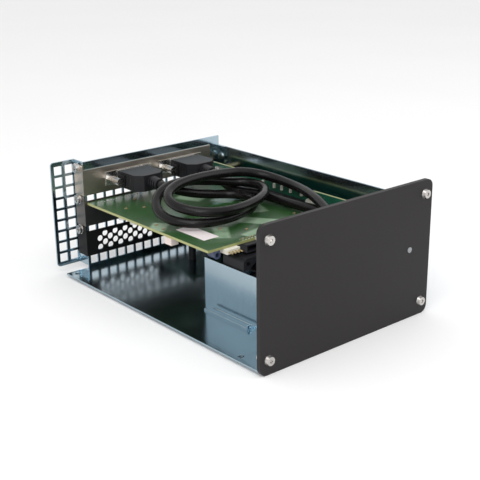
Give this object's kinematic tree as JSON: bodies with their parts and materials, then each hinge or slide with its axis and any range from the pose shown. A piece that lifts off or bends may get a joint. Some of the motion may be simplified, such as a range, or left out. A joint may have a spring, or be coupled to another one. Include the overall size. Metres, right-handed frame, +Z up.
{
  "type": "pcie expansion chassis",
  "caption": "Open desktop expansion chassis: zinc tray and vented rear panel carry a fan, an upright slot board and an add-in card with looped cable behind a dark front plate",
  "frame": {"origin": "centre of the overall footprint, on the surface that the front plate stands on", "axes": "+X to the right seen from the front plate, +Y from the front plate to the rear panel, +Z up"},
  "size_m": [0.143, 0.2212, 0.0889],
  "materials": {
    "zinc_sheet": "bright zinc plating, pale blue grey",
    "charcoal_plate": "satin charcoal powder coat",
    "bright_hardware": "bright nickel plating",
    "tan_bracket": "nickel plating, warm grey",
    "dark_bracket": "dark grey finish",
    "black_cover": "matt black finish",
    "green_board": "blue green solder mask",
    "card_green": "green solder mask with pale patches",
    "gold_metal": "gold and brass",
    "black_plastic": "matt black moulding",
    "chip_black": "matt black package",
    "heatsink_grey": "anodised aluminium",
    "part_metal": "bare aluminium and plated terminals",
    "port_metal": "nickel plated shells",
    "ivory_plastic": "off white moulding",
    "pink_white": "pinkish white moulding",
    "jack_blue": "dark blue and silver",
    "label_paper": "bare pale label",
    "bearing_bronze": "oiled bronze",
    "coil_copper": "varnished copper winding",
    "clear_pipe": "clear moulding",
    "led_white": "clear lens",
    "moulded_rubber": "satin black moulding",
    "cable_jacket": "semi gloss black jacket"
  },
  "bodies": {
    "chassis": {"base_tray": "zinc_sheet", "rear_panel": "zinc_sheet", "side_flange": "zinc_sheet", "end_flange": "zinc_sheet", "panel_rivets": "bright_hardware", "front_plate": "charcoal_plate", "plate_screws": "bright_hardware", "clinch_nuts": "bright_hardware", "light_pipe": "clear_pipe", "led_holder": "black_plastic", "led_board": "green_board", "power_led": "led_white", "fan_bracket": "zinc_sheet", "fan_frame": "black_plastic", "fan_bearing": "bearing_bronze", "fan_stator": "coil_copper", "fan_screws": "bright_hardware", "bridge_board": "green_board", "board_standoffs": "gold_metal", "board_screws": "bright_hardware", "controller_chip": "chip_black", "controller_heatsink": "heatsink_grey", "pcie_slot": "black_plastic", "fan_socket": "ivory_plastic", "power_inductors": "part_metal", "board_capacitors": "part_metal", "board_parts": "part_metal", "io_board": "green_board", "io_standoffs": "black_plastic", "io_screws": "bright_hardware", "port_sockets": "port_metal", "power_socket": "black_plastic", "board_link": "black_plastic", "card_board": "card_green", "card_contacts": "gold_metal", "card_bracket": "dark_bracket", "card_screws": "bright_hardware", "card_label": "label_paper", "card_header": "ivory_plastic", "header_pins": "gold_metal", "card_box_header": "black_plastic", "card_side_connector": "pink_white", "card_jack": "jack_blue", "card_chips": "chip_black", "card_capacitors": "part_metal", "slot_cover": "black_cover", "daughter_bracket": "tan_bracket", "bracket_screws": "bright_hardware", "connector_shells": "port_metal", "connector_inserts": "black_plastic", "hex_posts": "bright_hardware", "jackscrews": "bright_hardware", "plug_left": "moulded_rubber", "plug_right": "moulded_rubber", "relief_left": "moulded_rubber", "relief_right": "moulded_rubber", "signal_cable": "cable_jacket"},
    "rotor": {"fan_rotor": "black_plastic", "fan_shaft": "bright_hardware"}
  },
  "joints": [
    {"name": "fan_spin", "type": "hinge", "parent": "chassis", "child": "rotor", "pos_m": [-0.0115, -0.0386, 0.024], "axis": [0, 1, 0], "continuous": true}
  ]
}
